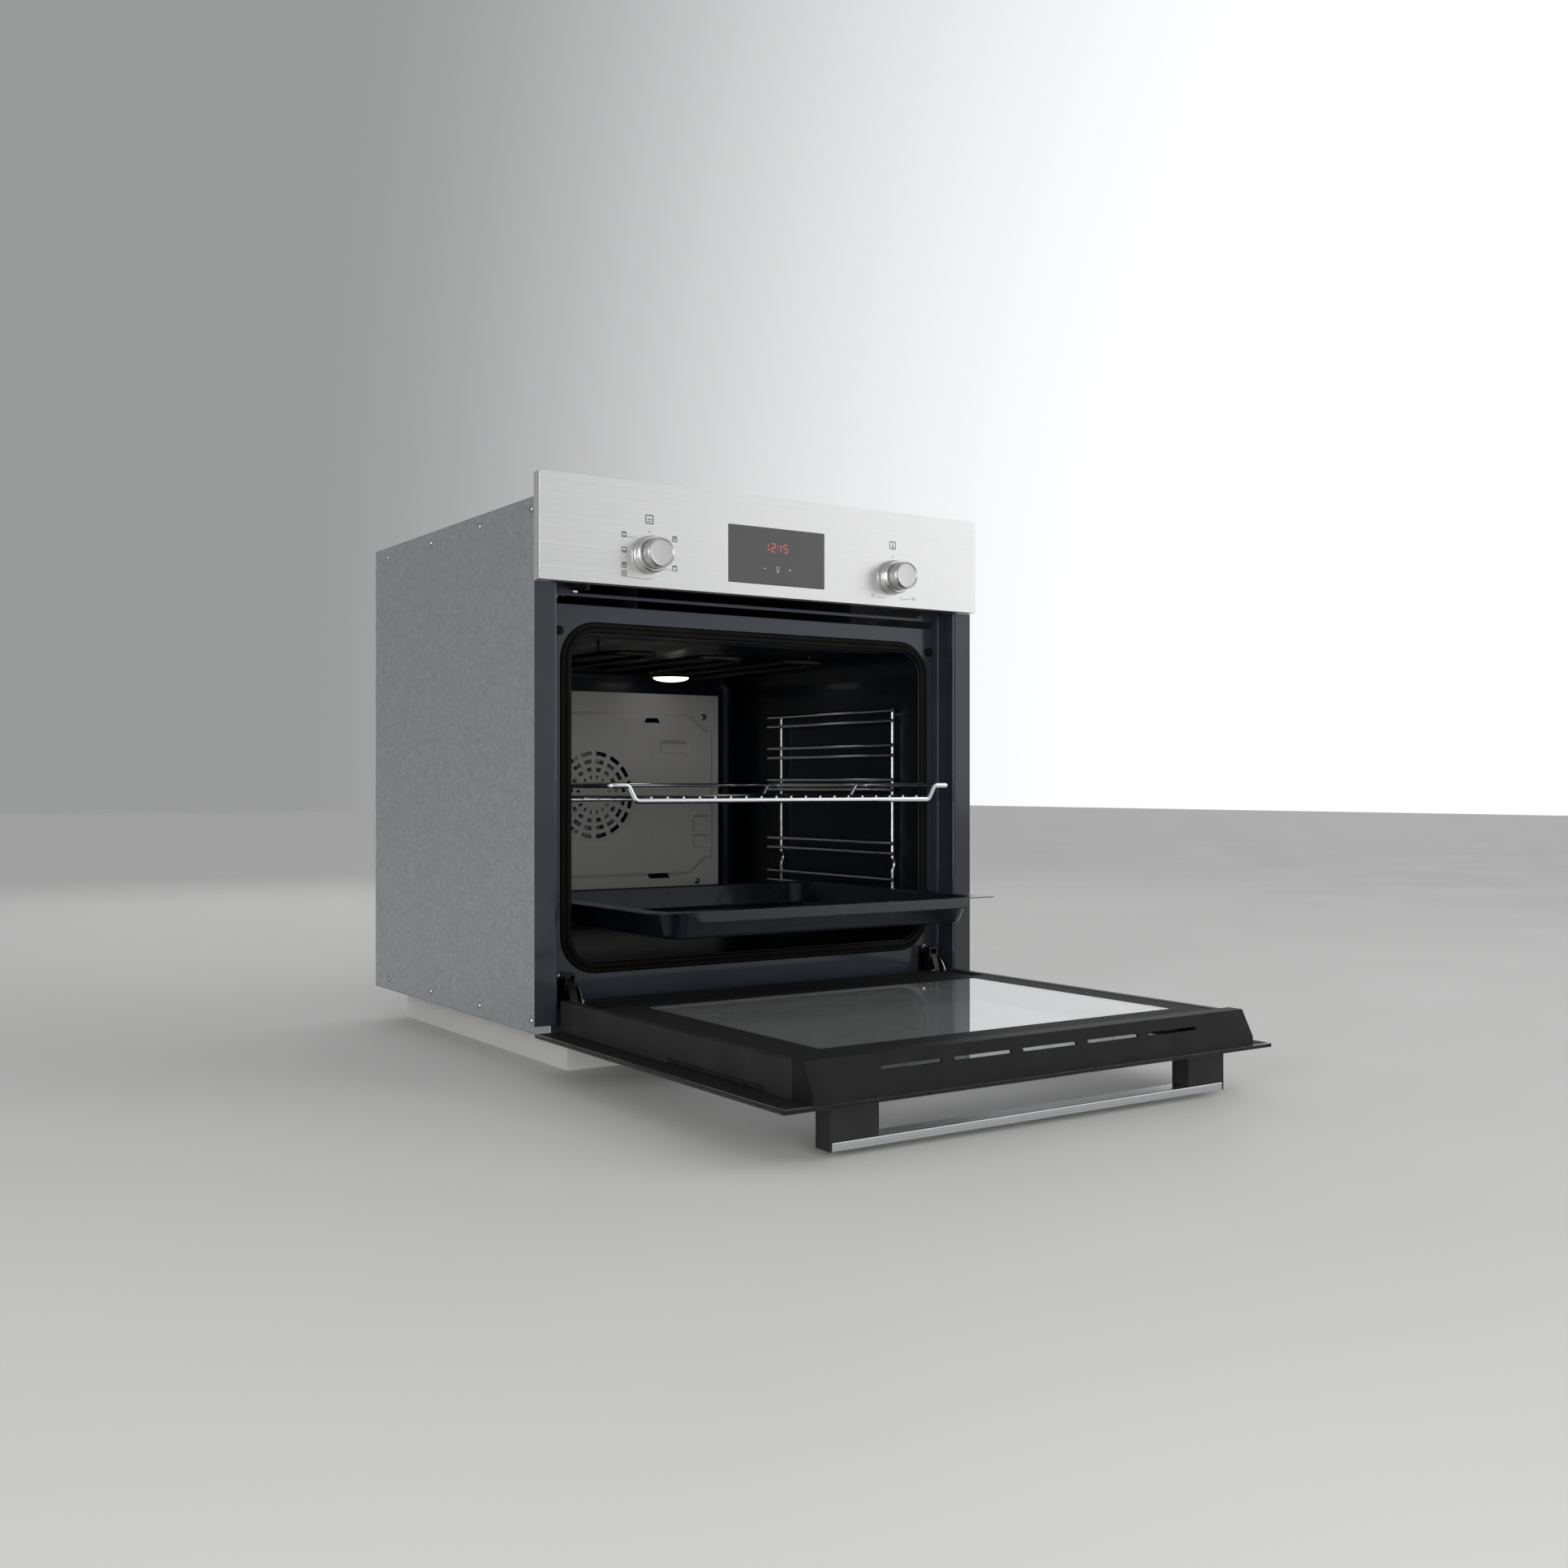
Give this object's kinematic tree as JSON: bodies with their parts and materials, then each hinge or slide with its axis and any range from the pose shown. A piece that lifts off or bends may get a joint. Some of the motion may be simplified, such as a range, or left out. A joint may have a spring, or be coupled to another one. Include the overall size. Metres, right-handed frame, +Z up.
{
  "type": "wall oven",
  "caption": "Built-in electric wall oven with drop-down glass door, pop-out knobs, clock display, wire rack and enamel tray.",
  "frame": {"origin": "middle of the base plate's underside", "axes": "+X to the right of someone facing the oven, +Y into the oven from its front, +Z up"},
  "size_m": [0.594, 1.002, 0.631],
  "materials": {
    "galvanised_sheet": "satin zinc-coated sheet",
    "front_enamel": "satin blue-grey enamel",
    "cavity_enamel": "glossy dark blue-black enamel",
    "fan_cover_coating": "matt grey-beige coating",
    "black_rubber": "matt",
    "black_plastic": "fine grained, satin",
    "heater_steel": "oxidised tube",
    "lamp_metal": "satin",
    "lamp_glass": "frosted",
    "chrome_wire": "bright",
    "insulation_wool": "glass wool",
    "brushed_steel": "fine horizontal brushing",
    "display_glass": "gloss, dark grey",
    "electronics": "matt",
    "knob_metal": "satin turned",
    "spindle_brass": "bright",
    "hinge_steel": "zinc plated",
    "door_glass_dark": "black-printed rim, tinted",
    "door_glass_clear": "clear, printed rim"
  },
  "bodies": {
    "oven": {"base_plate": "galvanised_sheet", "side_panel_left": "galvanised_sheet", "side_panel_right": "galvanised_sheet", "rear_panel": "galvanised_sheet", "top_cover": "galvanised_sheet", "side_trim_left": "front_enamel", "side_trim_right": "front_enamel", "fixing_bushes": "black_plastic", "front_frame": "front_enamel", "door_gasket": "black_rubber", "door_bumpers": "black_rubber", "air_outlet_strip": "front_enamel", "air_outlet_ends": "front_enamel", "cavity_wrapper": "cavity_enamel", "cavity_back_wall": "cavity_enamel", "fan_cover": "fan_cover_coating", "ring_heater": "heater_steel", "grill_element": "heater_steel", "bottom_heater": "heater_steel", "lamp_housing": "lamp_metal", "lamp_lens": "lamp_glass", "temperature_sensor": "lamp_metal", "shelf_support_left": "chrome_wire", "shelf_support_right": "chrome_wire", "insulation_blanket": "insulation_wool", "convection_motor": "lamp_metal", "cooling_fan_housing": "galvanised_sheet", "cooling_motor": "lamp_metal", "air_guide": "galvanised_sheet", "terminal_block": "black_plastic", "control_fascia": "brushed_steel", "panel_carrier": "black_plastic", "display_glass": "display_glass", "display_module": "electronics", "function_switch": "electronics", "thermostat": "electronics", "hinge_arms": "hinge_steel"},
    "door": {"hinge_channels": "hinge_steel", "hinge_springs": "hinge_steel", "door_outer_glass": "door_glass_dark", "door_middle_glass": "door_glass_clear", "door_inner_glass": "door_glass_clear", "door_side_frame_left": "black_plastic", "door_side_frame_right": "black_plastic", "door_top_cap": "black_plastic", "door_bottom_rail": "black_plastic", "handle_bar": "brushed_steel", "handle_brackets": "black_plastic", "handle_screws": "hinge_steel"},
    "function_selector": {"function_knob_collar": "knob_metal", "function_spindle": "spindle_brass"},
    "function_cap": {"function_knob_cap": "knob_metal"},
    "temperature_selector": {"temperature_knob_collar": "knob_metal", "temperature_spindle": "spindle_brass"},
    "temperature_cap": {"temperature_knob_cap": "knob_metal"},
    "convection_fan": {"convection_impeller": "lamp_metal"},
    "cooling_fan": {"cooling_impeller": "black_plastic"},
    "lever_left": {"hinge_lever_left": "hinge_steel"},
    "lever_right": {"hinge_lever_right": "hinge_steel"},
    "rack": {"wire_rack": "chrome_wire"},
    "tray": {"baking_tray": "cavity_enamel"}
  },
  "joints": [
    {"name": "door_hinge", "type": "hinge", "parent": "oven", "child": "door", "pos_m": [0, -0.2856, 0.0135], "axis": [-1, 0, 0], "range_deg": [0, 90]},
    {"name": "rack_slide", "type": "slide", "parent": "oven", "child": "rack", "axis": [0, 1, 0], "range_m": [0, 0.078]},
    {"name": "tray_slide", "type": "slide", "parent": "oven", "child": "tray", "axis": [0, 1, 0], "range_m": [0, 0.178]},
    {"name": "function_knob_turn", "type": "hinge", "parent": "oven", "child": "function_selector", "pos_m": [-0.1665, -0.2956, 0.5165], "axis": [0, 1, 0], "continuous": true},
    {"name": "function_knob_push", "type": "slide", "parent": "function_selector", "child": "function_cap", "axis": [0, 1, 0], "range_m": [0, 0.015]},
    {"name": "temperature_knob_turn", "type": "hinge", "parent": "oven", "child": "temperature_selector", "pos_m": [0.1665, -0.2956, 0.5165], "axis": [0, 1, 0], "range_deg": [0, 240]},
    {"name": "temperature_knob_push", "type": "slide", "parent": "temperature_selector", "child": "temperature_cap", "axis": [0, 1, 0], "range_m": [0, 0.015]},
    {"name": "convection_fan_spin", "type": "hinge", "parent": "oven", "child": "convection_fan", "pos_m": [0, 0.1844, 0.2535], "axis": [0, 1, 0], "continuous": true},
    {"name": "cooling_fan_spin", "type": "hinge", "parent": "oven", "child": "cooling_fan", "pos_m": [0, 0.1024, 0.48], "axis": [0, 0, 1], "continuous": true},
    {"name": "lever_left_flip", "type": "hinge", "parent": "oven", "child": "lever_left", "pos_m": [-0.249, -0.2676, 0.05], "axis": [1, 0, 0], "range_deg": [0, 80]},
    {"name": "lever_right_flip", "type": "hinge", "parent": "oven", "child": "lever_right", "pos_m": [0.249, -0.2676, 0.05], "axis": [1, 0, 0], "range_deg": [0, 80]}
  ],
  "couplings": [
    {"joint": "rack_slide", "follows": "door_hinge", "m_per_rad": 0.04965},
    {"joint": "tray_slide", "follows": "door_hinge", "m_per_rad": 0.11331}
  ]
}
